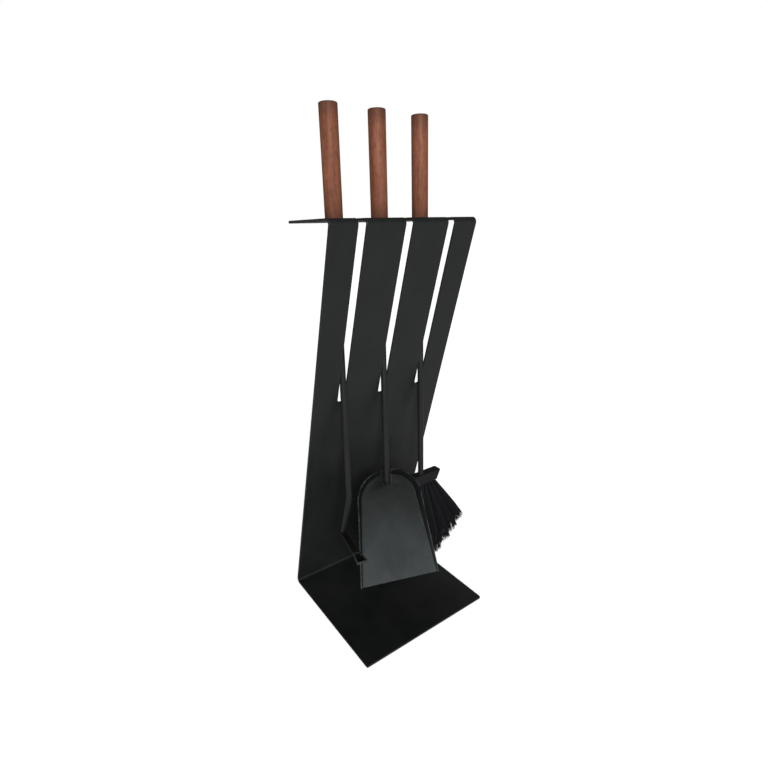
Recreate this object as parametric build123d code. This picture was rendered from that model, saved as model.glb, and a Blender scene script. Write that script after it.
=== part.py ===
from build123d import *
import os
from math import atan2, cos, degrees, radians, sin, sqrt, tan

# Fireplace tool set: a stand folded from one steel sheet, holding a poker, a shovel and a brush.
# Millimetres. +Z is up, -Y is the front, and the origin is the centre of the base's underside.
# Each tool is made about its own rod: local +Z up the rod, local -Y the side that its head faces.

# Stand
sheet = 3.0
base_width = 200.0
base_depth = 199.0
plate_height = 532.0
plate_depth = 95.0
crest_overhang = 169.5
bend_radius = 4.5
corner_radius = 2.0
front_edge = -base_depth / 2
back_bend = base_depth / 2
crest_y = back_bend - crest_overhang
lean = atan2(crest_overhang - sheet, plate_height)

# Slots and the rods that hang in them
rod_pitch = 61.0
rod_radius = 4.0
slot_width = 10.4
slot_fall = 226.0
seat_setback = 60.3
rod_y = crest_y + seat_setback

# Handles
handle_radius = 10.0
handle_length = 114.0
handle_edge = 1.2
insert_radius = 5.0
insert_length = 20.0
stud_radius = 3.0

# Poker: the rod kicks back and to one side, then a bar runs forward to a flared tip
poker_turn = -10.0
kick_start = 185.0
kick_side = -8.5
kick_back = 10.0
kick_foot = 128.0
kick_bend_radius = 40.0
kick_foot_radius = 2.7
bar_front = 38.5
bar_root_width = 6.6
bar_root_height = 4.5
bar_end_width = 9.0
bar_end_height = 3.0
bar_level = 127.3
tip_length = 21.0
tip_width = 14.0
tip_border = 1.8
tip_dish = 2.0

# Shovel: a blade with a low flared wall round its sides and back, open at the lip
shovel_turn = -19.0
blade_pitch = 25.0
blade_length = 142.5
blade_lip_width = 109.0
blade_back_width = 74.0
blade_corner_radius = 36.0
blade_sheet = 1.6
blade_setback = 6.0
lip_height = 67.5
wall_back_height = 10.5
wall_lip_height = 2.6
wall_flare = 0.62
notch_width = 14.0
notch_depth = 16.0
shovel_rod_foot = 190.0
shovel_rod_point = 6.0
weld_radius = 3.8

# Brush: a tapered block with two rows of tufts that fan out
block_top = 180.0
block_height = 15.0
block_top_width = 68.0
block_foot_width = 53.0
block_depth = 14.0
block_edge = 1.5
block_stud_length = 6.0
tuft_rows = (-3.2, 3.2)
tufts_in_row = 9
tuft_root_radius = 1.8
tuft_hole_radius = 1.9
tuft_hole_depth = 8.0
tuft_row_half = 22.0
tuft_fan = 31.0
tuft_row_splay = 2.2
tuft_length = 138.0
tuft_shortening = 36.0
tuft_tip_half_width = 11.5
tuft_tip_half_depth = 6.5


def at_rod(part, index, turn=0.0):
    """Turn a tool's piece about its rod and set it on the rod's axis."""
    return Pos(index * rod_pitch, rod_y, 0) * Rot(0, 0, turn) * part


# ---------------------------------------------------------------- stand

def make_stand():
    """One sheet folded twice, with three slots from the rod seats over the top bend."""
    mid = sheet / 2
    foot_y = back_bend - mid / cos(lean) - mid * tan(lean)
    top_y = crest_y + mid / cos(lean) + mid * tan(lean)
    path = FilletPolyline(
        (0, front_edge, mid),
        (0, foot_y, mid),
        (0, top_y, plate_height - mid),
        (0, crest_y + plate_depth, plate_height - mid),
        radius=bend_radius,
    )
    start = Plane(origin=path @ 0, x_dir=(1, 0, 0), z_dir=path % 0)
    section = start * Rectangle(base_width, sheet)
    stand = sweep(section, path=path)
    free_corners = stand.edges().filter_by(Axis.Z)
    stand = fillet(free_corners, corner_radius)
    for index in (-1, 0, 1):
        stand -= make_slot(index)
    return stand


def make_slot(index):
    """A slot's cutter: one run in the top plate, and one square to the leaning panel."""
    x = index * rod_pitch
    half = slot_width / 2
    run = seat_setback + 2 * sheet
    top = Pos(x, rod_y - run / 2, plate_height) * Box(slot_width, run, 4 * sheet)
    seat = Pos(x, rod_y, plate_height) * Cylinder(half, 4 * sheet)
    down_panel = Pos(x, crest_y, plate_height) * Rot(degrees(lean), 0, 0)
    length = slot_fall - half
    panel = down_panel * Pos(0, 0, -length / 2) * Box(slot_width, 4 * sheet, length)
    end = down_panel * Pos(0, 0, -length) * Rot(90, 0, 0) * Cylinder(half, 4 * sheet)
    return top + seat + panel + end


# ---------------------------------------------------------------- handles and rods

def make_handle():
    """A turned wooden grip with eased ends and a blind bore for the insert."""
    handle = Cylinder(handle_radius, handle_length, align=(Align.CENTER, Align.CENTER, Align.MIN))
    rims = handle.edges().filter_by(GeomType.CIRCLE)
    handle = fillet(rims, handle_edge)
    bore = Cylinder(insert_radius, insert_length, align=(Align.CENTER, Align.CENTER, Align.MIN))
    return Pos(0, 0, plate_height) * (handle - bore)


def make_insert():
    """The threaded insert in a handle's foot, which the rod's stud screws into."""
    body = Cylinder(insert_radius, insert_length, align=(Align.CENTER, Align.CENTER, Align.MIN))
    bore = Cylinder(stud_radius, insert_length, align=(Align.CENTER, Align.CENTER, Align.MIN))
    return Pos(0, 0, plate_height) * (body - bore)


def make_straight_rod(foot):
    """A rod from its foot up to the handle, with the stud above the handle's foot."""
    rod = Pos(0, 0, foot) * Cylinder(
        rod_radius, plate_height - foot, align=(Align.CENTER, Align.CENTER, Align.MIN)
    )
    stud = Pos(0, 0, plate_height) * Cylinder(
        stud_radius, insert_length, align=(Align.CENTER, Align.CENTER, Align.MIN)
    )
    return rod + stud


# ---------------------------------------------------------------- poker

def make_poker_rod():
    """The poker's rod: straight down, one kink, then a drawn-down foot coped to the bar."""
    kick = sqrt(kick_side ** 2 + kick_back ** 2)
    kick_heading = degrees(atan2(-kick_side, kick_back))
    slant = atan2(kick, kick_start - kick_foot)
    tangent = kick_bend_radius * tan(slant / 2)
    bend_top = kick_start + tangent
    bend_path = CenterArc((0, 0, 0), kick_bend_radius, 0, degrees(slant))
    bend_path = Pos(0, kick_bend_radius, bend_top) * Rot(0, 90, 0) * Rot(0, 0, -90) * bend_path
    bend = sweep(Pos(0, 0, bend_top) * Circle(rod_radius), path=bend_path)
    slant_length = (kick_start - kick_foot) / cos(slant) - tangent
    foot = Pos(0, 0, -tangent - slant_length / 2) * Cone(kick_foot_radius, rod_radius, slant_length)
    foot = Pos(0, 0, kick_start) * Rot(degrees(slant), 0, 0) * foot
    rod = Rot(0, 0, kick_heading) * (make_straight_rod(bend_top) + bend + foot)
    return rod - make_poker_bar()


def hook_place():
    """The hook's frame: the front end of the bar, with +Y back along the bar."""
    return Pos(kick_side, -bar_front, bar_level)


def make_poker_bar():
    """The bar forged from square to flat, from the rod's foot forward to the tip."""
    length = bar_front + kick_back + kick_foot_radius
    front = Plane.XZ * Rectangle(bar_end_width, bar_end_height)
    root = Plane.XZ.offset(-length) * Rectangle(bar_root_width, bar_root_height)
    return hook_place() * loft([front, root], ruled=True)


def make_poker_tip():
    """The flared tip, a plate with a shallow dish inside a raised border."""
    outline = Polyline(
        (-bar_end_width / 2, 0),
        (bar_end_width / 2, 0),
        (tip_width / 2, -tip_length),
        (-tip_width / 2, -tip_length),
        close=True,
    )
    face = make_face(outline)
    half = bar_end_height / 2
    plate = extrude(Pos(0, 0, -half) * face, bar_end_height)
    dish = extrude(Pos(0, 0, half - tip_dish) * offset(face, -tip_border), tip_dish)
    return hook_place() * (plate - dish)


# ---------------------------------------------------------------- shovel

def pan_place():
    """The blade's frame: X across, Y down the blade to the lip, Z out of its front."""
    pitch = radians(blade_pitch)
    head = (0, blade_setback, lip_height + blade_length * cos(pitch))
    return Plane(origin=head, x_dir=(-1, 0, 0), z_dir=(0, -cos(pitch), sin(pitch)))


def pan_outline(spread, trim, beyond):
    """The blade's outline, spread at the back and the lip, as a closed face on XY."""
    back_spread, lip_spread = spread
    slope = (blade_lip_width - blade_back_width) / 2 / blade_length
    lip = blade_length + beyond
    back = trim - back_spread
    half_back = blade_back_width / 2 + back_spread - trim
    half_lip = blade_lip_width / 2 + lip_spread - trim + slope * beyond
    outline = FilletPolyline(
        (-half_lip, lip),
        (-half_back, back),
        (half_back, back),
        (half_lip, lip),
        radius=blade_corner_radius + back_spread - trim,
    )
    return make_face(outline + Line((half_lip, lip), (-half_lip, lip)))


def pan_shell(trim, beyond, floor):
    """The solid between the blade's outline and the wall's top outline."""
    rise = (wall_back_height - wall_lip_height) / blade_length
    lift = wall_back_height
    spread = (wall_flare * wall_back_height, wall_flare * wall_lip_height)
    foot = Pos(0, 0, floor) * pan_outline((0, 0), trim, beyond)
    top = Pos(0, 0, lift) * Rot(-degrees(atan2(rise, 1)), 0, 0) * pan_outline(spread, trim, beyond)
    return loft([foot, top], ruled=True)


def make_pan():
    """The shovel's pan with a notch at the back that takes the rod."""
    shell = pan_shell(0, 0, 0)
    hollow = pan_shell(blade_sheet, 4 * blade_sheet, blade_sheet)
    pan = shell - hollow
    reach = 3 * wall_back_height
    notch_centre = notch_depth - notch_width / 2
    notch = Pos(0, notch_centre, 0) * Cylinder(notch_width / 2, reach)
    notch += Pos(0, notch_centre - reach / 2, 0) * Box(notch_width, reach, reach)
    return pan_place() * (pan - notch)


def make_shovel_rod():
    """The shovel's rod, with a blunt point that stands in the pan's notch."""
    point = Cone(rod_radius / 2, rod_radius, shovel_rod_point)
    point = Pos(0, 0, shovel_rod_foot - shovel_rod_point / 2) * point
    return make_straight_rod(shovel_rod_foot) + point


def make_shovel_weld():
    """The weld bead between the rod's point and the foot of the notch."""
    bead = Pos(0, 0, shovel_rod_foot - shovel_rod_point) * Sphere(weld_radius)
    return bead - make_shovel_rod() - make_pan()


# ---------------------------------------------------------------- brush

def make_brush_rod():
    """The brush's rod, with a second stud that goes down into the block."""
    stud = Pos(0, 0, block_top - block_stud_length / 2) * Cylinder(stud_radius, block_stud_length)
    return make_straight_rod(block_top) + stud


def block_section(z, width):
    """The brush block's outline at a height."""
    return Pos(0, 0, z) * Rectangle(width, block_depth)


def tuft_place(column, row_y):
    """A tuft's axis: the mouth of its hole in the block's foot, and its lean in the fan."""
    share = 2 * column / (tufts_in_row - 1) - 1
    splay = tuft_row_splay if row_y > 0 else -tuft_row_splay
    mouth = Pos(share * tuft_row_half, row_y, block_top - block_height)
    return share, mouth * Rot(splay, -share * tuft_fan, 0)


def make_block():
    """The brush block, drilled for the tufts and the rod's stud."""
    foot = block_section(block_top - block_height, block_foot_width)
    top = block_section(block_top, block_top_width)
    block = fillet(loft([foot, top], ruled=True).edges(), block_edge)
    for row_y in tuft_rows:
        for column in range(tufts_in_row):
            _, place = tuft_place(column, row_y)
            block -= place * Cylinder(tuft_hole_radius, 2 * tuft_hole_depth)
    return block - Pos(0, 0, block_top) * Cylinder(stud_radius, 2 * block_stud_length)


def make_tufts(row_y):
    """One row of tufts, each a straight root in its hole that opens into a wide flat brush below."""
    tufts = []
    for column in range(tufts_in_row):
        share, place = tuft_place(column, row_y)
        length = tuft_length - tuft_shortening * abs(share)
        grown = length / tuft_length
        root = Pos(0, 0, tuft_hole_depth / 2) * Cylinder(tuft_root_radius, tuft_hole_depth)
        tip = Pos(0, 0, -length) * Ellipse(tuft_tip_half_width * grown, tuft_tip_half_depth * grown)
        opened = loft([tip, Circle(tuft_root_radius)], ruled=True)
        tufts.append(place * (root + opened))
    return Compound(tufts)


# ---------------------------------------------------------------- assembly

def make_nodes():
    """Every piece of the set in its place, by node name."""
    nodes = {"stand_sheet": make_stand()}
    for index, tool in ((-1, "poker"), (0, "shovel"), (1, "brush")):
        nodes[tool + "_handle"] = at_rod(make_handle(), index)
        nodes[tool + "_insert"] = at_rod(make_insert(), index)
    nodes["poker_rod"] = at_rod(make_poker_rod(), -1, poker_turn)
    nodes["poker_bar"] = at_rod(make_poker_bar(), -1, poker_turn)
    nodes["poker_tip"] = at_rod(make_poker_tip(), -1, poker_turn)
    nodes["shovel_rod"] = at_rod(make_shovel_rod(), 0, shovel_turn)
    nodes["shovel_pan"] = at_rod(make_pan(), 0, shovel_turn)
    nodes["shovel_weld"] = at_rod(make_shovel_weld(), 0, shovel_turn)
    nodes["brush_rod"] = at_rod(make_brush_rod(), 1)
    nodes["brush_block"] = at_rod(make_block(), 1)
    nodes["tufts_front"] = at_rod(make_tufts(tuft_rows[0]), 1)
    nodes["tufts_back"] = at_rod(make_tufts(tuft_rows[1]), 1)
    return nodes


os.makedirs("parts", exist_ok=True)
for name, part in make_nodes().items():
    export_step(part, f"parts/{name}.step")
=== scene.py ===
import math
import random

import bmesh
import bpy
from mathutils import Matrix, Vector


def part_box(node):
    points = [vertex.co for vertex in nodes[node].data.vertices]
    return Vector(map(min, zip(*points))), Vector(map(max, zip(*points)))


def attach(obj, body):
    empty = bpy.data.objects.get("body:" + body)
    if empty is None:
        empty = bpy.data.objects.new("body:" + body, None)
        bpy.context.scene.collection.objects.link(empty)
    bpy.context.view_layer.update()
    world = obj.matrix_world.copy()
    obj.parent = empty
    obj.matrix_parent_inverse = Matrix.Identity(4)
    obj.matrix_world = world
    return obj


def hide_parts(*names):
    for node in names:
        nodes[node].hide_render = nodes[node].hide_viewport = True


# Fireplace tool set: a folded black steel stand that holds a poker, a shovel and a brush.
# Metres, +Z up, -Y to the front, the origin on the floor under the middle of the base.

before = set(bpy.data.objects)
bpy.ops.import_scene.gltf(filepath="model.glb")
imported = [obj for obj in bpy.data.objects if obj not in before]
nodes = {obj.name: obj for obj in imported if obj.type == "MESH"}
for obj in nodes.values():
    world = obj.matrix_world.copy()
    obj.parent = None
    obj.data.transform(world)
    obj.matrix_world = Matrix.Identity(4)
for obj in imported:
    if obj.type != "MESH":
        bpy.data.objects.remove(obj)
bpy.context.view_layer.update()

MM = 0.001
TOOLS = ("poker", "shovel", "brush")
ROD_LINE_Y = -9.7 * MM
SHOVEL_AXIS = Vector((0, ROD_LINE_Y, 0))
BRUSH_AXIS = Vector((61 * MM, ROD_LINE_Y, 0))
HANDLE_FOOT_Z = 0.532
HANDLE_TOP_Z = 0.646


# ---------------------------------------------------------------- shader node groups

SURFACE = [
    ("Colour", "NodeSocketColor"),
    ("Roughness", "NodeSocketFloat"),
    ("Height", "NodeSocketFloat"),
]


def new_group(name, inputs, outputs):
    """A shader group with named sockets: (group, nodes, link, the given end, the result end).

    An input is (name, value) and an output is (name, kind of socket).
    """
    group = bpy.data.node_groups.new(name, "ShaderNodeTree")
    for label, value in inputs:
        kind = "NodeSocketColor" if isinstance(value, tuple) else "NodeSocketFloat"
        socket = group.interface.new_socket(name=label, in_out="INPUT", socket_type=kind)
        socket.default_value = value
    for label, kind in outputs:
        group.interface.new_socket(name=label, in_out="OUTPUT", socket_type=kind)
    tree = group.nodes
    return group, tree, group.links.new, tree.new("NodeGroupInput"), tree.new("NodeGroupOutput")


def put(link, value, socket):
    """A socket set to a number, colour or direction, or linked from another socket."""
    if isinstance(value, (int, float, tuple)):
        socket.default_value = value
    else:
        link(value, socket)


def object_place(tree):
    """A point's place on its piece."""
    return tree.new("ShaderNodeTexCoord").outputs["Object"]


def surface_normal(tree):
    """The way that the surface faces."""
    return tree.new("ShaderNodeNewGeometry").outputs["Normal"]


def height_of(tree, link, vector):
    """The Z of a place or a direction."""
    node = tree.new("ShaderNodeSeparateXYZ")
    link(vector, node.inputs["Vector"])
    return node.outputs["Z"]


def noise(tree, link, vector, scale, detail=2.0, roughness=0.5, output="Fac"):
    """A noise texture on the given vector."""
    node = tree.new("ShaderNodeTexNoise")
    put(link, scale, node.inputs["Scale"])
    node.inputs["Detail"].default_value = detail
    node.inputs["Roughness"].default_value = roughness
    link(vector, node.inputs["Vector"])
    return node.outputs[output]


def stretch(tree, link, vector, scale):
    """The vector stretched along the axes."""
    node = tree.new("ShaderNodeMapping")
    node.inputs["Scale"].default_value = scale
    link(vector, node.inputs["Vector"])
    return node.outputs["Vector"]


def spread(tree, link, value, low, high, to_low=0.0, to_high=1.0):
    """A value's range from low to high, spread over another range and clamped to it."""
    node = tree.new("ShaderNodeMapRange")
    put(link, low, node.inputs["From Min"])
    put(link, high, node.inputs["From Max"])
    node.inputs["To Min"].default_value = to_low
    node.inputs["To Max"].default_value = to_high
    link(value, node.inputs["Value"])
    return node.outputs["Result"]


def maths(tree, link, operation, first, second):
    """One sum of two values, each a socket or a number."""
    node = tree.new("ShaderNodeMath")
    node.operation = operation
    put(link, first, node.inputs[0])
    put(link, second, node.inputs[1])
    return node.outputs["Value"]


def times(tree, link, first, second):
    """Two values multiplied."""
    return maths(tree, link, "MULTIPLY", first, second)


def agreement(tree, link, first, second):
    """How far two directions agree: 1 where they are the same, and 0 where they are square."""
    node = tree.new("ShaderNodeVectorMath")
    node.operation = "DOT_PRODUCT"
    put(link, first, node.inputs[0])
    put(link, second, node.inputs[1])
    return node.outputs["Value"]


def mix(tree, link, share, first, second, blend="MIX"):
    """Two colours mixed. Each is a socket or a colour, and the share a socket or a number."""
    node = tree.new("ShaderNodeMix")
    node.data_type = "RGBA"
    node.blend_type = blend
    colours = [socket for socket in node.inputs if socket.type == "RGBA"]
    put(link, share, node.inputs["Factor"])
    put(link, first, colours[0])
    put(link, second, colours[1])
    return [socket for socket in node.outputs if socket.type == "RGBA"][0]


def make_coat_group():
    """Powder coat: fine orange peel, slow changes of tone, pale specks, and dust on flat tops."""
    lighter_by, darker_by = (1.25, 1.25, 1.23, 1), (0.8, 0.8, 0.81, 1)
    dust_grey, speck_grey = (0.16, 0.15, 0.14, 1), (0.12, 0.12, 0.12, 1)
    cloud_share, streak_share, speck_strength = 0.7, 0.3, 0.12
    group, tree, link, given, result = new_group(
        "powder_coat",
        [
            ("Colour", (0.03, 0.03, 0.03, 1)),
            ("Roughness", 0.45),
            ("Peel Scale", 900.0),
            ("Dust", 0.1),
        ],
        SURFACE,
    )
    where = object_place(tree)
    peel = noise(tree, link, where, scale=given.outputs["Peel Scale"], detail=3.0)
    cloud = noise(tree, link, where, scale=14.0, detail=4.0, roughness=0.6)
    streak = noise(tree, link, stretch(tree, link, where, (60, 60, 9)), scale=1.0, detail=3.0)
    speck = noise(tree, link, where, scale=520.0, detail=1.0)
    speck = spread(tree, link, speck, low=0.7, high=0.78)
    cloud_part = times(tree, link, cloud, cloud_share)
    streak_part = times(tree, link, streak, streak_share)
    tone = maths(tree, link, "ADD", cloud_part, streak_part)
    lighter = mix(tree, link, 1.0, given.outputs["Colour"], lighter_by, "MULTIPLY")
    darker = mix(tree, link, 1.0, given.outputs["Colour"], darker_by, "MULTIPLY")
    colour = mix(tree, link, spread(tree, link, tone, low=0.35, high=0.65), darker, lighter)
    lying = spread(tree, link, height_of(tree, link, surface_normal(tree)), low=0.3, high=1.0)
    drift = times(tree, link, lying, spread(tree, link, cloud, low=0.42, high=0.7))
    dust = times(tree, link, given.outputs["Dust"], drift)
    colour = mix(tree, link, dust, colour, dust_grey)
    colour = mix(tree, link, times(tree, link, speck, speck_strength), colour, speck_grey)
    link(colour, result.inputs["Colour"])
    uneven = spread(tree, link, tone, low=0.3, high=0.7, to_low=-0.05, to_high=0.07)
    rough = maths(tree, link, "ADD", given.outputs["Roughness"], uneven)
    link(rough, result.inputs["Roughness"])
    link(peel, result.inputs["Height"])
    return group


def make_edge_wear_and_highlight_group():
    """Worn edges and painted edge highlight: a mask that is high where a surface turns sharply,
    broken up along the edge.
    """
    group, tree, link, given, result = new_group(
        "edge_wear_and_painted_highlight", [("Radius", 0.0008), ("Amount", 0.5)], [("Mask", "NodeSocketFloat")]
    )
    rounded = tree.new("ShaderNodeBevel")
    rounded.samples = 4
    link(given.outputs["Radius"], rounded.inputs["Radius"])
    same = agreement(tree, link, rounded.outputs["Normal"], surface_normal(tree))
    turned = spread(tree, link, same, low=0.985, high=0.86)
    patch = noise(tree, link, object_place(tree), scale=90.0, detail=4.0, roughness=0.7)
    patch = spread(tree, link, patch, low=0.38, high=0.62)
    worn_and_lit_patch = times(tree, link, patch, given.outputs["Amount"])
    link(times(tree, link, turned, worn_and_lit_patch), result.inputs["Mask"])
    return group


def make_wood_group():
    """Turned hardwood with its grain along Z: streaks, pores, mottling, darker end grain, and a
    darkening towards both ends.
    """
    pore_brown, pore_strength, pore_depth = (0.07, 0.025, 0.015, 1), 0.55, 0.8
    end_grain_brown, end_grain_strength = (0.13, 0.06, 0.036, 1), 0.45
    ends_dark_brown, ends_dark_reach = (0.095, 0.042, 0.025, 1), 0.02
    figure_share, fibre_share, wander_by = 0.62, 0.38, 0.012
    group, tree, link, given, result = new_group(
        "turned_wood",
        [
            ("Light", (0.42, 0.19, 0.11, 1)),
            ("Dark", (0.2, 0.075, 0.045, 1)),
            ("Foot", HANDLE_FOOT_Z),
            ("Top", HANDLE_TOP_Z),
        ],
        SURFACE,
    )
    where = object_place(tree)
    wander = noise(tree, link, where, scale=16.0, output="Color")
    shifted = mix(tree, link, wander_by, where, wander, "ADD")
    figure = stretch(tree, link, shifted, (170, 170, 7))
    figure = noise(tree, link, figure, scale=1.0, detail=5.0, roughness=0.62)
    fibre = stretch(tree, link, shifted, (1500, 1500, 45))
    fibre = noise(tree, link, fibre, scale=1.0, detail=3.0, roughness=0.6)
    pore = noise(tree, link, stretch(tree, link, where, (2300, 2300, 190)), scale=1.0, detail=0.0)
    pore = spread(tree, link, pore, low=0.66, high=0.74)
    figure_part = times(tree, link, figure, figure_share)
    fibre_part = times(tree, link, fibre, fibre_share)
    tone = maths(tree, link, "ADD", figure_part, fibre_part)
    mottle = noise(tree, link, where, scale=150.0, detail=3.0, roughness=0.6)
    mottle = spread(tree, link, mottle, low=0.3, high=0.7, to_low=-0.045, to_high=0.045)
    tone = maths(tree, link, "ADD", tone, mottle)
    streak = spread(tree, link, tone, low=0.34, high=0.64)
    colour = mix(tree, link, streak, given.outputs["Dark"], given.outputs["Light"])
    colour = mix(tree, link, times(tree, link, pore, pore_strength), colour, pore_brown)
    height = height_of(tree, link, where)
    # The handle darkens towards its foot and its top.
    above_foot = maths(tree, link, "ADD", given.outputs["Foot"], ends_dark_reach)
    below_top = maths(tree, link, "SUBTRACT", given.outputs["Top"], ends_dark_reach)
    off_foot = spread(tree, link, height, given.outputs["Foot"], above_foot)
    off_top = spread(tree, link, height, given.outputs["Top"], below_top)
    inner = times(tree, link, off_foot, off_top)
    uneven_border = noise(tree, link, where, scale=60.0, detail=3.0)
    uneven_border = spread(tree, link, uneven_border, low=0.3, high=0.7, to_low=-0.2, to_high=0.2)
    kept = maths(tree, link, "ADD", inner, uneven_border)
    darker_ends = maths(tree, link, "SUBTRACT", 1.0, kept)
    darker_ends = spread(tree, link, darker_ends, low=0.0, high=1.0, to_low=0.0, to_high=0.75)
    colour = mix(tree, link, darker_ends, colour, ends_dark_brown)
    up_or_down = height_of(tree, link, surface_normal(tree))
    up_or_down = maths(tree, link, "ABSOLUTE", up_or_down, 0.0)
    end = spread(tree, link, up_or_down, low=0.7, high=0.9)
    colour = mix(tree, link, times(tree, link, end, end_grain_strength), colour, end_grain_brown)
    link(colour, result.inputs["Colour"])
    rough = spread(tree, link, tone, low=0.3, high=0.7, to_low=0.58, to_high=0.46)
    link(rough, result.inputs["Roughness"])
    grain = maths(tree, link, "SUBTRACT", fibre, times(tree, link, pore, pore_depth))
    link(grain, result.inputs["Height"])
    return group


coat_group = make_coat_group()
edge_wear_and_highlight_group = make_edge_wear_and_highlight_group()
wood_group = make_wood_group()


# ---------------------------------------------------------------- materials

# The way the pan's blade faces, the height above which its paint is darkest as painted shade, and
# where a painted sheen makes it lightest towards the lip.
PAN_FRONT = (-0.295, -0.857, 0.423)
PAN_PAINTED_SHADE_TOP = 0.186
PAN_PAINTED_SHEEN_FOOT = 0.07


def new_material(name):
    """An empty material with its Principled shader: (material, nodes, link, shader)."""
    material = bpy.data.materials.new(name)
    material.use_nodes = True
    tree = material.node_tree.nodes
    return material, tree, material.node_tree.links.new, tree["Principled BSDF"]


def place_group(tree, group, **values):
    """A group in a material, with its own values by input name."""
    node = tree.new("ShaderNodeGroup")
    node.node_tree = group
    for label, value in values.items():
        node.inputs[label.replace("_", " ")].default_value = value
    return node


def bump(tree, link, height, shader, strength, distance):
    """A height put on the shader's normal."""
    node = tree.new("ShaderNodeBump")
    node.inputs["Strength"].default_value = strength
    node.inputs["Distance"].default_value = distance
    link(height, node.inputs["Height"])
    link(node.outputs["Normal"], shader.inputs["Normal"])


def make_coat(name, colour, roughness, peel_scale, dust, wear_and_highlight, worn_and_highlight_colour, specular):
    """Black coated steel: orange peel in the coat, and edges made lighter, partly as wear and
    partly as a painted highlight.
    """
    material, tree, link, shader = new_material(name)
    coat = place_group(
        tree, coat_group,
        Colour=(*colour, 1), Roughness=roughness, Peel_Scale=peel_scale, Dust=dust,
    )
    edge = place_group(tree, edge_wear_and_highlight_group, Radius=0.0009, Amount=wear_and_highlight)
    # The paler edge colour is partly wear and partly a painted highlight where sharp edges catch
    # the light.
    shade_of_coat = mix(
        tree, link, edge.outputs["Mask"], coat.outputs["Colour"], (*worn_and_highlight_colour, 1)
    )
    link(shade_of_coat, shader.inputs["Base Color"])
    link(coat.outputs["Roughness"], shader.inputs["Roughness"])
    shader.inputs["Specular IOR Level"].default_value = specular
    bump(tree, link, coat.outputs["Height"], shader, strength=0.22, distance=0.0003)
    return material


def make_wood(name, light, dark):
    """Stained and oiled hardwood for the handles."""
    material, tree, link, shader = new_material(name)
    wood = place_group(tree, wood_group, Light=(*light, 1), Dark=(*dark, 1))
    link(wood.outputs["Colour"], shader.inputs["Base Color"])
    link(wood.outputs["Roughness"], shader.inputs["Roughness"])
    shader.inputs["Specular IOR Level"].default_value = 0.16
    bump(tree, link, wood.outputs["Height"], shader, strength=0.3, distance=0.0002)
    return material


def make_pan_coat(name):
    """Black paint, darkened at the back of the pan and on its walls as painted shade, and lightened
    towards the lip as a painted sheen, with scratches where it is lightest.
    """
    painted_shade_black, painted_sheen_paint = (0.006, 0.0068, 0.0066, 1), (0.05, 0.058, 0.059, 1)
    scratch_grey, edge_grey = (0.12, 0.13, 0.128, 1), (0.17, 0.18, 0.17, 1)
    material, tree, link, shader = new_material(name)
    where = object_place(tree)
    height = height_of(tree, link, where)
    uneven_border = noise(tree, link, where, scale=22.0, detail=3.0, roughness=0.6)
    uneven_border = spread(tree, link, uneven_border, low=0.3, high=0.7, to_low=-0.012, to_high=0.012)
    # The paint runs from painted shade at the back to a painted sheen at the lip, on the blade
    # only, so the walls stay darkened as painted shade.
    level = maths(tree, link, "ADD", height, uneven_border)
    lip_painted_sheen = spread(tree, link, level, PAN_PAINTED_SHADE_TOP, PAN_PAINTED_SHEEN_FOOT)
    on_blade = agreement(tree, link, surface_normal(tree), PAN_FRONT)
    on_blade = spread(tree, link, on_blade, low=0.6, high=0.95)
    lip_painted_sheen = times(tree, link, lip_painted_sheen, on_blade)
    paint = mix(tree, link, lip_painted_sheen, painted_shade_black, painted_sheen_paint)
    coat = place_group(tree, coat_group, Roughness=0.5, Peel_Scale=1000.0, Dust=0.0)
    link(paint, coat.inputs["Colour"])
    scratch = stretch(tree, link, where, (900, 420, 26))
    scratch = noise(tree, link, scratch, scale=1.0, detail=2.0)
    scratch = spread(tree, link, scratch, low=0.62, high=0.74, to_low=0.0, to_high=0.22)
    scratch = times(tree, link, scratch, lip_painted_sheen)
    colour = mix(tree, link, scratch, coat.outputs["Colour"], scratch_grey)
    # The pan's pale edges are partly wear and partly a painted highlight along its rim.
    edge = place_group(tree, edge_wear_and_highlight_group, Radius=0.0013, Amount=1.0)
    colour = mix(tree, link, edge.outputs["Mask"], colour, edge_grey)
    link(colour, shader.inputs["Base Color"])
    link(coat.outputs["Roughness"], shader.inputs["Roughness"])
    shader.inputs["Specular IOR Level"].default_value = 0.1
    bump(tree, link, coat.outputs["Height"], shader, strength=0.2, distance=0.0003)
    return material


def make_brass(name):
    """Plain turned brass with fine tool rings."""
    ring_dark, ring_light = (0.58, 0.4, 0.16, 1), (0.76, 0.57, 0.27, 1)
    material, tree, link, shader = new_material(name)
    rings = stretch(tree, link, object_place(tree), (20, 20, 3000))
    rings = noise(tree, link, rings, scale=1.0, detail=1.0)
    link(mix(tree, link, rings, ring_dark, ring_light), shader.inputs["Base Color"])
    rough = spread(tree, link, rings, low=0.2, high=0.8, to_low=0.28, to_high=0.42)
    link(rough, shader.inputs["Roughness"])
    shader.inputs["Metallic"].default_value = 1.0
    bump(tree, link, rings, shader, strength=0.2, distance=0.0001)
    return material


def make_bristle(name):
    """Black fibre, each strand a little different in tone, with a soft sheen."""
    strand_dark, strand_light = (0.0035, 0.0035, 0.0045, 1), (0.015, 0.016, 0.019, 1)
    material, tree, link, shader = new_material(name)
    fibre = stretch(tree, link, object_place(tree), (900, 900, 60))
    fibre = noise(tree, link, fibre, scale=1.0, detail=2.0)
    link(mix(tree, link, fibre, strand_dark, strand_light), shader.inputs["Base Color"])
    rough = spread(tree, link, fibre, low=0.3, high=0.7, to_low=0.5, to_high=0.65)
    link(rough, shader.inputs["Roughness"])
    shader.inputs["Specular IOR Level"].default_value = 0.22
    return material


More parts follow.
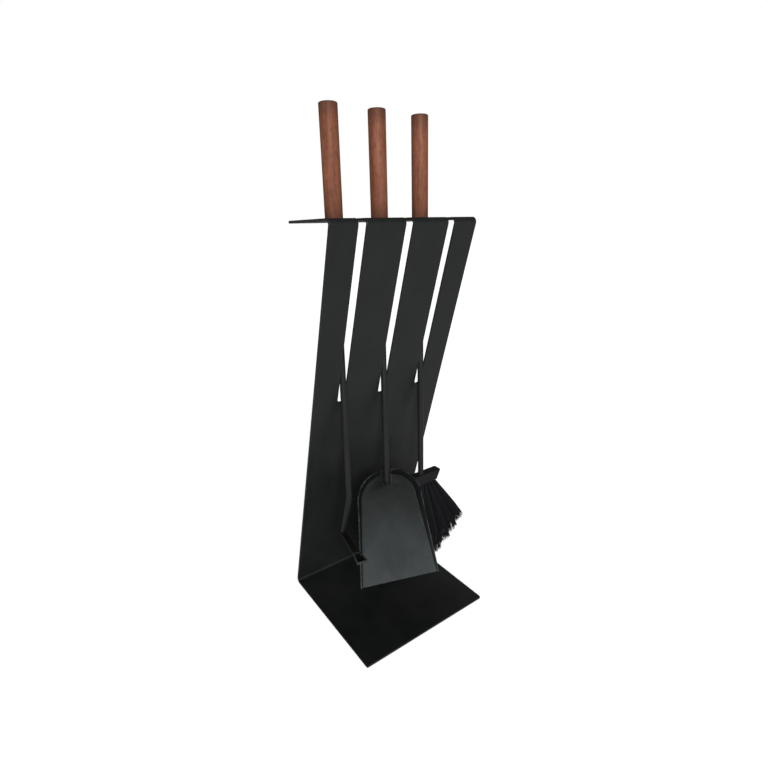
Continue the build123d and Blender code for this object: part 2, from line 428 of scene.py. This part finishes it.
stand_coat = make_coat(
    "stand_powder_coat", colour=(0.0099, 0.0116, 0.011), roughness=0.48, peel_scale=1100.0,
    dust=0.02, wear_and_highlight=0.3, worn_and_highlight_colour=(0.06, 0.065, 0.06), specular=0.5,
)
rod_coat = make_coat(
    "rod_black_paint", colour=(0.0125, 0.014, 0.0132), roughness=0.42, peel_scale=1400.0,
    dust=0.0, wear_and_highlight=0.35, worn_and_highlight_colour=(0.07, 0.07, 0.065), specular=0.35,
)
# The hook's paint is a darker copy of the rods' paint, as painted shade on its faces; its strong
# pale edges are partly a painted highlight.
shaded_hook_coat = make_coat(
    "hook_black_paint_with_painted_shade", colour=(0.007, 0.0078, 0.0062), roughness=0.5, peel_scale=700.0,
    dust=0.0, wear_and_highlight=0.8, worn_and_highlight_colour=(0.1, 0.1, 0.088), specular=0.25,
)
# The tip's border is a lighter copy of the hook's paint, partly wear and partly a painted
# highlight; its dish takes a darker copy as painted shade.
lit_tip_coat = make_coat(
    "hook_tip_worn_paint_and_painted_highlight", colour=(0.032, 0.034, 0.031), roughness=0.45, peel_scale=700.0,
    dust=0.0, wear_and_highlight=0.9, worn_and_highlight_colour=(0.13, 0.132, 0.12), specular=0.35,
)
tip_painted_shade = make_coat(
    "hook_tip_painted_shade", colour=(0.005, 0.0058, 0.0042), roughness=0.7, peel_scale=700.0,
    dust=0.0, wear_and_highlight=0.0, worn_and_highlight_colour=(0.01, 0.01, 0.01), specular=0.15,
)
pan_coat = make_pan_coat("pan_black_paint")
block_coat = make_coat(
    "block_matt_black", colour=(0.0098, 0.0098, 0.0115), roughness=0.62, peel_scale=1600.0,
    dust=0.0, wear_and_highlight=0.3, worn_and_highlight_colour=(0.05, 0.05, 0.052), specular=0.25,
)
weld_coat = make_coat(
    "weld_black_paint", colour=(0.008, 0.009, 0.009), roughness=0.55, peel_scale=800.0,
    dust=0.0, wear_and_highlight=0.2, worn_and_highlight_colour=(0.03, 0.03, 0.03), specular=0.25,
)
handle_wood = make_wood(
    "handle_stained_wood", light=(0.36, 0.136, 0.075), dark=(0.155, 0.051, 0.028)
)
insert_brass = make_brass("insert_turned_brass")
bristle_fibre = make_bristle("bristle_black_fibre")

for tool in TOOLS:
    nodes[tool + "_insert"].data.materials[0] = insert_brass
    nodes[tool + "_rod"].data.materials[0] = rod_coat


# ---------------------------------------------------------------- modelling by hand

# How near two points, levels or planes count as one, and how squarely a face looks along an axis.
SAME_POINT = 2e-6
SAME_LEVEL = 1e-6
SAME_PLANE = math.radians(0.6)
SQUARE_ON = 0.9
EDGE_ON = 0.3


def pick(piece):
    """Select this piece alone and make it active."""
    bpy.ops.object.select_all(action="DESELECT")
    piece.select_set(True)
    bpy.context.view_layer.objects.active = piece


def named(name):
    """The piece that was just added, under its own name."""
    piece = bpy.context.object
    piece.name = name
    piece.data.name = name
    return piece


def set_in_place(piece):
    """Put the piece's place, turn and scale into its mesh."""
    pick(piece)
    bpy.ops.object.transform_apply(location=True, rotation=True, scale=True)


def choose(piece, kind, test):
    """In edit mode, select only the vertices, edges or faces that pass a test."""
    mesh = bmesh.from_edit_mesh(piece.data)
    bpy.ops.mesh.select_all(action="DESELECT")
    modes = (kind == "VERT", kind == "EDGE", kind == "FACE")
    bpy.context.tool_settings.mesh_select_mode = modes
    for part in {"VERT": mesh.verts, "EDGE": mesh.edges, "FACE": mesh.faces}[kind]:
        if test(part):
            part.select_set(True)
    mesh.select_flush_mode()
    bmesh.update_edit_mesh(piece.data)


def apply_bevel(piece, width, segments, angle):
    """Ease the edges that turn more than an angle."""
    bevel = piece.modifiers.new("eased_edges", "BEVEL")
    bevel.width = width
    bevel.segments = segments
    bevel.limit_method = "ANGLE"
    bevel.angle_limit = math.radians(angle)
    bevel.use_clamp_overlap = True
    pick(piece)
    bpy.ops.object.modifier_apply(modifier=bevel.name)


def shade(piece, angle):
    """Shade smooth across edges that turn less than an angle."""
    pick(piece)
    bpy.ops.object.shade_smooth_by_angle(angle=math.radians(angle))


def finish_piece(piece, material, body, slot, *stands_for):
    """Give a piece its finish and its body, and hide the solids it stands for."""
    piece.data.materials.clear()
    piece.data.materials.append(material)
    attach(piece, body)
    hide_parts(*stands_for)


def joined_copy(node, name):
    """A new piece in a solid's own shape, with its loose triangles joined into flat faces."""
    piece = bpy.data.objects.new(name, nodes[node].data.copy())
    piece.data.name = name
    bpy.context.scene.collection.objects.link(piece)
    pick(piece)
    bpy.ops.object.mode_set(mode="EDIT")
    bpy.ops.mesh.select_all(action="SELECT")
    bpy.ops.mesh.customdata_custom_splitnormals_clear()
    bpy.ops.mesh.remove_doubles(threshold=SAME_POINT)
    bpy.ops.mesh.dissolve_limited(angle_limit=SAME_PLANE)
    bpy.ops.object.mode_set(mode="OBJECT")
    return piece


# ---------------------------------------------------------------- stand

def make_stand():
    """The folded sheet with its cut edges eased as the coat rounds them."""
    stand = joined_copy("stand_sheet", "folded_stand")
    apply_bevel(stand, width=0.45 * MM, segments=2, angle=50)
    shade(stand, angle=21)
    finish_piece(stand, stand_coat, "stand", "powder_coated_steel", "stand_sheet")


# ---------------------------------------------------------------- handles

HANDLE_SIDES = 72
BORE_WALL = 5.0 * MM
BORE_DEPTH = 20 * MM
RIM_ROUNDING = 1.2 * MM
RIM_STEPS = 5
RIM_INNER_LIMIT = 9.5 * MM


def make_handle(name, body):
    """A turned grip: a dowel with rounded rims and a bore in its foot."""
    low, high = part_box(body + "_handle")
    middle = (low + high) / 2
    bpy.ops.object.select_all(action="DESELECT")
    bpy.ops.mesh.primitive_cylinder_add(
        vertices=HANDLE_SIDES, radius=(high.x - low.x) / 2, depth=high.z - low.z, location=middle
    )
    handle = named(name)
    set_in_place(handle)
    bpy.ops.object.mode_set(mode="EDIT")
    choose(handle, "FACE", lambda f: f.normal.z < -SQUARE_ON)
    bpy.ops.mesh.inset(thickness=BORE_WALL)
    bpy.ops.mesh.extrude_region_move(TRANSFORM_OT_translate={"value": (0, 0, BORE_DEPTH)})

    def on_rim(edge):
        start, end = (vertex.co for vertex in edge.verts)
        level = abs(start.z - end.z) < SAME_LEVEL
        return level and (start.xy - middle.xy).length > RIM_INNER_LIMIT

    choose(handle, "EDGE", on_rim)
    bpy.ops.mesh.bevel(offset=RIM_ROUNDING, segments=RIM_STEPS, affect="EDGES")
    bpy.ops.object.mode_set(mode="OBJECT")
    shade(handle, angle=30)
    finish_piece(handle, handle_wood, body, "stained_wood", body + "_handle")


# ---------------------------------------------------------------- poker

DISH_AT_LEAST = 1.0 * MM


def make_poker_bar():
    """The hook's bar with its forged edges eased."""
    bar = joined_copy("poker_bar", "hook_bar")
    apply_bevel(bar, width=0.7 * MM, segments=3, angle=40)
    shade(bar, angle=35)
    finish_piece(bar, shaded_hook_coat, "poker", "painted_steel", "poker_bar")


def make_poker_tip():
    """The flared tip: a border made lighter, partly as wear and partly as a painted highlight,
    round a dish darkened as painted shade.
    """
    tip = joined_copy("poker_tip", "hook_tip")
    apply_bevel(tip, width=0.25 * MM, segments=2, angle=40)
    shade(tip, angle=35)
    finish_piece(tip, lit_tip_coat, "poker", "painted_steel", "poker_tip")
    tip.data.materials.append(tip_painted_shade)
    low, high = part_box("poker_tip")
    middle = (low + high) / 2
    # The dish's floor and inner walls take the darker material: painted shade in the recess.
    for face in tip.data.polygons:
        faces_up, upright = face.normal.z > SQUARE_ON, abs(face.normal.z) < EDGE_ON
        floor_of_dish = faces_up and face.center.z < high.z - DISH_AT_LEAST
        wall_of_dish = upright and face.normal.dot(face.center - middle) < 0
        if floor_of_dish or wall_of_dish:
            face.material_index = 1


# ---------------------------------------------------------------- shovel

# The pan's place on the rod: its tilt, its turn about the rod, and where its back and its lip are.
PAN_PITCH = math.radians(25)
PAN_TURN = math.radians(-19)
PAN_BACK_Y = 6 * MM
PAN_LIP_Z = 67.5 * MM

# The flat blade. Its sides splay to the lip, so the way out from them leans back a little.
PAN_LENGTH = 142.5 * MM
PAN_CORNER = 36 * MM
PAN_CORNER_SIDES = 64
PAN_BACK_FLAT = 5.15 * MM
PAN_LIP_HALF = 54.5 * MM
PAN_SHEET = 1.6 * MM
PAN_SIDE_LEAN = -0.122
PAN_FLAT_WITHIN = math.radians(1)
PAN_FLOOR_RING = 1.2 * MM

# The soft crease between the blade and its wall, as steps out and up. The wall goes on from it,
# so what the crease has gained of the wall's flare and height is taken off the wall's own step.
CREASE = 3.0 * MM
CREASE_STEPS = ((1.5 * MM, 0.15 * MM), (1.0 * MM, 0.5 * MM), (0.6 * MM, 0.75 * MM))
CREASE_OUT = 0.3 * MM
CREASE_UP = 1.45 * MM
WALL_AT_BACK = 10.5 * MM
WALL_AT_LIP = 2.6 * MM
WALL_FLARE = 0.62

NOTCH_HALF = 7 * MM
NOTCH_DEPTH = 9 * MM
NOTCH_SIDES = 48
CUTTER_HEIGHT = 60 * MM
CUTTER_REACH = 30 * MM

# How near a point has to be to the lip, or to the line where the round back ends.
NEAR = 0.1 * MM
ON_LINE = 0.01 * MM

WELD_RADIUS = 3.2 * MM
WELD_SHAPE = (1.05, 1.05, 0.85)
LUMP_SIZE = 1.6 * MM
LUMP_HEIGHT = 1.0 * MM
LUMP_MIDDLE = 0.6


def pan_matrix():
    """From the flat blade (X across, Y to the lip, Z out of its front) to its place on the rod."""
    down = Vector((0, -math.sin(PAN_PITCH), -math.cos(PAN_PITCH)))
    front = Vector((0, -math.cos(PAN_PITCH), math.sin(PAN_PITCH)))
    across = down.cross(front)
    tilt = Matrix((across, down, front)).transposed().to_4x4()
    back = Vector((0, PAN_BACK_Y, PAN_LIP_Z + PAN_LENGTH * math.cos(PAN_PITCH)))
    turned = Matrix.Translation(SHOVEL_AXIS) @ Matrix.Rotation(PAN_TURN, 4, "Z")
    return turned @ Matrix.Translation(back) @ tilt


def grow_rim(pan, step):
    """Extrude the open rim, all but the lip, and move each new point out and up.

    step gives both lengths for a point's share of the way from the back to the lip.
    """
    def off_lip(edge):
        return edge.is_boundary and min(v.co.y for v in edge.verts) < PAN_LENGTH - NEAR

    choose(pan, "EDGE", off_lip)
    bpy.ops.mesh.extrude_edges_move()
    mesh = bmesh.from_edit_mesh(pan.data)
    for point in [vertex for vertex in mesh.verts if vertex.select]:
        side = 1 if point.co.x > 0 else -1
        if point.co.y < PAN_CORNER - ON_LINE:
            centre = Vector((side * PAN_BACK_FLAT, PAN_CORNER, 0))
            out = Vector((point.co.x, point.co.y, 0)) - centre
        else:
            out = Vector((side, PAN_SIDE_LEAN, 0))
        out.normalize()
        aside, up = step(max(0.0, point.co.y) / PAN_LENGTH)
        on_lip = point.co.y > PAN_LENGTH - NEAR
        point.co += out * aside + Vector((0, 0, up))
        if on_lip:
            point.co.y = PAN_LENGTH
    bmesh.update_edit_mesh(pan.data)


def wall_step(share):
    """The wall above its crease, lower towards the lip."""
    height = WALL_AT_BACK + (WALL_AT_LIP - WALL_AT_BACK) * share
    return WALL_FLARE * height - CREASE_OUT, height - CREASE_UP


def cut_blade():
    """The blade's flat outline: half a disc, widened at the back and pulled out to the lip.

    The blade is left in edit mode, for its rim to grow from.
    """
    bpy.ops.object.select_all(action="DESELECT")
    bpy.ops.mesh.primitive_circle_add(
        vertices=PAN_CORNER_SIDES, radius=PAN_CORNER - CREASE, fill_type="NGON",
        location=(0, PAN_CORNER, 0), rotation=(0, 0, math.pi / PAN_CORNER_SIDES),
    )
    pan = named("shovel_blade")
    set_in_place(pan)
    bpy.ops.object.mode_set(mode="EDIT")
    bpy.ops.mesh.select_all(action="SELECT")
    bpy.ops.mesh.bisect(plane_co=(0, PAN_CORNER, 0), plane_no=(0, 1, 0), clear_outer=True)
    for side in (-1, 1):
        choose(pan, "VERT", lambda v: v.co.x * side > 0)
        bpy.ops.transform.translate(value=(side * PAN_BACK_FLAT, 0, 0))
    choose(pan, "EDGE", lambda e: all(abs(v.co.y - PAN_CORNER) < ON_LINE for v in e.verts))
    bpy.ops.mesh.extrude_region_move(
        TRANSFORM_OT_translate={"value": (0, PAN_LENGTH - PAN_CORNER, 0)}
    )
    start_half = PAN_CORNER - CREASE + PAN_BACK_FLAT
    bpy.ops.transform.resize(
        value=((PAN_LIP_HALF - CREASE) / start_half, 1, 1), center_override=(0, PAN_LENGTH, 0)
    )
    bpy.ops.mesh.select_all(action="SELECT")
    bpy.ops.mesh.dissolve_limited(angle_limit=PAN_FLAT_WITHIN)
    return pan


def cut_notch(pan):
    """Cut the round-ended notch for the rod out of the pan's back."""
    bpy.ops.object.select_all(action="DESELECT")
    bpy.ops.mesh.primitive_cylinder_add(
        vertices=NOTCH_SIDES, radius=NOTCH_HALF, depth=CUTTER_HEIGHT, location=(0, NOTCH_DEPTH, 0)
    )
    cutter = named("notch_cutter")
    set_in_place(cutter)
    bpy.ops.object.mode_set(mode="EDIT")
    choose(cutter, "VERT", lambda v: v.co.y < NOTCH_DEPTH - NEAR)
    bpy.ops.transform.translate(value=(0, -CUTTER_REACH, 0))
    bpy.ops.object.mode_set(mode="OBJECT")
    pick(pan)
    notch = pan.modifiers.new("notch", "BOOLEAN")
    notch.object = cutter
    notch.operation = "DIFFERENCE"
    notch.solver = "EXACT"
    bpy.ops.object.modifier_apply(modifier=notch.name)
    bpy.data.objects.remove(cutter)


def make_pan():
    """The shovel's pan: an arched blade, a soft crease, a flared wall, and a notch for the rod."""
    pan = cut_blade()
    bpy.ops.mesh.select_all(action="SELECT")
    # A narrow ring round the flat floor keeps the crease's smooth shading off it.
    bpy.ops.mesh.inset(thickness=PAN_FLOOR_RING)
    for crease_step in CREASE_STEPS:
        grow_rim(pan, lambda share: crease_step)
    grow_rim(pan, wall_step)
    bpy.ops.mesh.select_all(action="SELECT")
    bpy.ops.mesh.normals_make_consistent(inside=False)
    bpy.ops.object.mode_set(mode="OBJECT")
    faces_front = sum(face.normal.z * face.area for face in pan.data.polygons) > 0
    sheet = pan.modifiers.new("sheet", "SOLIDIFY")
    sheet.thickness = PAN_SHEET
    sheet.offset = 1 if faces_front else -1
    bpy.ops.object.modifier_apply(modifier=sheet.name)
    cut_notch(pan)
    apply_bevel(pan, width=0.3 * MM, segments=2, angle=50)
    pan.matrix_world = pan_matrix()
    set_in_place(pan)
    shade(pan, angle=32)
    finish_piece(pan, pan_coat, "shovel", "pan_steel", "shovel_pan")


def make_weld():
    """The weld bead at the rod's foot, a little lumpy under its paint."""
    bpy.ops.object.select_all(action="DESELECT")
    low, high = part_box("shovel_weld")
    bpy.ops.mesh.primitive_ico_sphere_add(
        subdivisions=4, radius=WELD_RADIUS, location=(low + high) / 2
    )
    weld = named("rod_weld")
    weld.scale = WELD_SHAPE
    set_in_place(weld)
    lumps = bpy.data.textures.new("weld_lumps", "CLOUDS")
    lumps.noise_scale = LUMP_SIZE
    swell = weld.modifiers.new("lumps", "DISPLACE")
    swell.texture = lumps
    swell.texture_coords = "LOCAL"
    swell.strength = LUMP_HEIGHT
    swell.mid_level = LUMP_MIDDLE
    pick(weld)
    bpy.ops.object.modifier_apply(modifier=swell.name)
    shade(weld, angle=60)
    finish_piece(weld, weld_coat, "shovel", "pan_steel", "shovel_weld")


# ---------------------------------------------------------------- brush

BLOCK_FOOT = 165 * MM
BLOCK_TAPER = 53.0 / 68.0

# A tuft's lengths are along it. It is widest at its tip and flatter towards its sides.
TUFTS_IN_ROW = 9
TUFT_ROW_HALF = 22 * MM
TUFT_ROW_Y = 3.2 * MM
TUFT_FAN = math.radians(31)
TUFT_SPLAY = math.radians(2.2)
TUFT_LENGTH = 138 * MM
TUFT_SHORTENING = 36 * MM
TUFT_ROOT_HALF = 1.2 * MM
TUFT_ROOT_DEPTH = 3 * MM
TUFT_TIP_HALF_WIDTH = 12.2 * MM
TUFT_TIP_HALF_DEPTH = 5.8 * MM
TUFT_SIDE_THINNING = 0.75

# A strand's length is a share of its tuft's.
BRISTLE_SEED = 41
STRANDS_IN_TUFT = 260
STRAND_TIP_SHARE = 0.65
STRAND_CUTS = 4
STRAND_HALF_MM = (0.25, 0.35)
STRAND_BOW_MM = 2.4
STRAND_BOW_DEEP = 0.6
STRAND_SHORTEST, STRAND_LONGEST, STRAND_USUAL = 0.88, 0.985, 0.96

draw = random.Random(BRISTLE_SEED)


def make_block():
    """The tapered block, its edges eased."""
    bpy.ops.object.select_all(action="DESELECT")
    low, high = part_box("brush_block")
    bpy.ops.mesh.primitive_cube_add(size=1, location=(low + high) / 2)
    block = named("brush_head")
    block.scale = high - low
    set_in_place(block)
    bpy.ops.object.mode_set(mode="EDIT")
    choose(block, "FACE", lambda f: f.normal.z < -SQUARE_ON)
    bpy.ops.transform.resize(value=(BLOCK_TAPER, 1, 1))
    bpy.ops.object.mode_set(mode="OBJECT")
    apply_bevel(block, width=1.5 * MM, segments=4, angle=30)
    shade(block, angle=35)
    finish_piece(block, block_coat, "brush", "block_black", "brush_block")


def make_strand():
    """One bristle, a unit long: three-sided, thinner to its tip, and cut so that it can bow."""
    bpy.ops.object.select_all(action="DESELECT")
    bpy.ops.mesh.primitive_cone_add(
        vertices=3, radius1=1, radius2=STRAND_TIP_SHARE, depth=1, location=(0, 0, 0.5)
    )
    strand = named("strand")
    set_in_place(strand)
    bpy.ops.object.mode_set(mode="EDIT")
    choose(strand, "EDGE", lambda e: abs(e.verts[0].co.z - e.verts[1].co.z) > 0.5)
    bpy.ops.mesh.subdivide(number_cuts=STRAND_CUTS)
    bpy.ops.object.mode_set(mode="OBJECT")
    return strand


def lay_strand(strand, place, whole):
    """A copy of the bristle in its tuft, bowed between its root in the block and its tip."""
    across, deep = draw.uniform(-1, 1), draw.uniform(-1, 1)
    deep *= math.sqrt(1 - TUFT_SIDE_THINNING * across * across)
    root = Vector((across, deep, 0)) * TUFT_ROOT_HALF
    tip = Vector((across * TUFT_TIP_HALF_WIDTH, deep * TUFT_TIP_HALF_DEPTH, 0))
    tip = tip * whole / TUFT_LENGTH
    length = whole * draw.triangular(STRAND_SHORTEST, STRAND_LONGEST, STRAND_USUAL)
    bow = Vector((draw.uniform(-1, 1), draw.uniform(-STRAND_BOW_DEEP, STRAND_BOW_DEEP), 0))
    bow = bow * STRAND_BOW_MM * MM
    thick = draw.uniform(*STRAND_HALF_MM) * MM
    turn = draw.uniform(0, 2 * math.pi)
    cosine, sine = math.cos(turn), math.sin(turn)
    copy = strand.copy()
    copy.data = strand.data.copy()
    for vertex in copy.data.vertices:
        x, y, along = vertex.co
        side = Vector((x * cosine - y * sine, x * sine + y * cosine, 0))
        spine = root.lerp(tip, along) + bow * math.sin(math.pi * along) * along
        drop = Vector((0, 0, TUFT_ROOT_DEPTH - (length + TUFT_ROOT_DEPTH) * along))
        vertex.co = place @ (spine + side * thick + drop)
    bpy.context.scene.collection.objects.link(copy)
    return copy


def make_tufts(name, node, row_y, splay, strand):
    """A row of tufts, each a bundle of bowed bristles that opens towards its ragged end."""
    strands = []
    for column in range(TUFTS_IN_ROW):
        share = 2 * column / (TUFTS_IN_ROW - 1) - 1
        place = (
            Matrix.Translation(BRUSH_AXIS + Vector((share * TUFT_ROW_HALF, row_y, BLOCK_FOOT)))
            @ Matrix.Rotation(splay, 4, "X")
            @ Matrix.Rotation(-share * TUFT_FAN, 4, "Y")
        )
        whole = TUFT_LENGTH - TUFT_SHORTENING * abs(share)
        for _ in range(STRANDS_IN_TUFT):
            strands.append(lay_strand(strand, place, whole))
    bpy.ops.object.select_all(action="DESELECT")
    for copy in strands:
        copy.select_set(True)
    bpy.context.view_layer.objects.active = strands[0]
    bpy.ops.object.join()
    row = named(name)
    bpy.ops.object.mode_set(mode="EDIT")
    bpy.ops.mesh.select_all(action="SELECT")
    bpy.ops.mesh.normals_make_consistent(inside=False)
    bpy.ops.object.mode_set(mode="OBJECT")
    finish_piece(row, bristle_fibre, "brush", "bristle_black", node)


make_stand()
for tool in TOOLS:
    make_handle(tool + "_grip", tool)
make_poker_bar()
make_poker_tip()
make_pan()
make_weld()
make_block()
one_strand = make_strand()
make_tufts("bristles_front", "tufts_front", -TUFT_ROW_Y, -TUFT_SPLAY, one_strand)
make_tufts("bristles_back", "tufts_back", TUFT_ROW_Y, TUFT_SPLAY, one_strand)
bpy.data.objects.remove(one_strand)


# ---------------------------------------------------------------- floor, light and camera

FLOOR_SIZE = 400
WHITE = (1, 1, 1, 1)
BLACK = (0, 0, 0, 1)
FLOOR_PALE = (0.8, 0.8, 0.8, 1)
FLOOR_SEEN = (0.9, 0.9, 0.9, 1)
FLOOR_GLOW = (0.7, 0.7, 0.7, 1)
ROOM_DIM = (0.08, 0.08, 0.08, 1)
ROOM_WALL = (0.28, 0.28, 0.27, 1)
CAMERA_PLACE = (-0.34168, -0.49775, 0.51993)
CAMERA_TURN = (72.26794, 1.47823, -35.46904)
CAMERA_LENS = 22.627
CAMERA_SENSOR = 36
CAMERA_CLIP_START = 0.01


def camera_ray(tree):
    """1 for what the camera sees straight, and 0 for reflections and bounced light."""
    return tree.new("ShaderNodeLightPath").outputs["Is Camera Ray"]


def make_floor():
    """A plain pale floor, a little brighter to the camera than to the light that bounces off it."""
    bpy.ops.object.select_all(action="DESELECT")
    bpy.ops.mesh.primitive_plane_add(size=FLOOR_SIZE, location=(0, 0, 0))
    floor = named("floor")
    material, tree, link, shader = new_material("floor_pale")
    seen = camera_ray(tree)
    link(mix(tree, link, seen, FLOOR_PALE, FLOOR_SEEN), shader.inputs["Base Color"])
    link(mix(tree, link, seen, BLACK, FLOOR_GLOW), shader.inputs["Emission Color"])
    shader.inputs["Emission Strength"].default_value = 1.0
    shader.inputs["Roughness"].default_value = 0.9
    shader.inputs["Specular IOR Level"].default_value = 0.1
    floor.data.materials.append(material)


def make_sun(name, toward, strength, width, glossy=True):
    """A soft even light from a direction, wide in degrees, that may or may not show as a shine."""
    lamp = bpy.data.lights.new(name, "SUN")
    lamp.energy = strength
    lamp.angle = math.radians(width)
    holder = bpy.data.objects.new(name, lamp)
    holder.rotation_euler = Vector(toward).to_track_quat("Z", "Y").to_euler()
    holder.visible_glossy = glossy
    bpy.context.scene.collection.objects.link(holder)


def make_world():
    """White where the camera looks past the set, and a dim room with pale walls for the light."""
    world = bpy.data.worlds.new("studio")
    world.use_nodes = True
    bpy.context.scene.world = world
    tree, link = world.node_tree.nodes, world.node_tree.links.new
    height = height_of(tree, link, tree.new("ShaderNodeTexCoord").outputs["Generated"])
    wall = spread(tree, link, height, low=0.22, high=0.06)
    room = tree["Background"]
    link(mix(tree, link, wall, ROOM_DIM, ROOM_WALL), room.inputs["Color"])
    room.inputs["Strength"].default_value = 1.0
    white = tree.new("ShaderNodeBackground")
    white.inputs["Color"].default_value = WHITE
    white.inputs["Strength"].default_value = 1.0
    either = tree.new("ShaderNodeMixShader")
    link(camera_ray(tree), either.inputs[0])
    link(room.outputs[0], either.inputs[1])
    link(white.outputs[0], either.inputs[2])
    link(either.outputs[0], tree["World Output"].inputs["Surface"])


def make_camera():
    """A view from the front left, above the middle of the set and looking a little down."""
    lens = bpy.data.cameras.new("camera")
    lens.lens = CAMERA_LENS
    lens.sensor_width = CAMERA_SENSOR
    lens.clip_start = CAMERA_CLIP_START
    camera = bpy.data.objects.new("camera", lens)
    camera.location = CAMERA_PLACE
    camera.rotation_euler = [math.radians(angle) for angle in CAMERA_TURN]
    bpy.context.scene.collection.objects.link(camera)
    bpy.context.scene.camera = camera


make_floor()
make_sun("key", toward=(-0.41, -0.9, 0.34), strength=2.45, width=24)
make_sun("fill", toward=(-0.75, -0.3, 0.6), strength=0.15, width=80)
make_sun("back", toward=(0.42, 0.85, 0.35), strength=0.9, width=40, glossy=False)
make_world()
make_camera()
bpy.context.scene.view_settings.view_transform = "Standard"

bpy.context.view_layer.update()
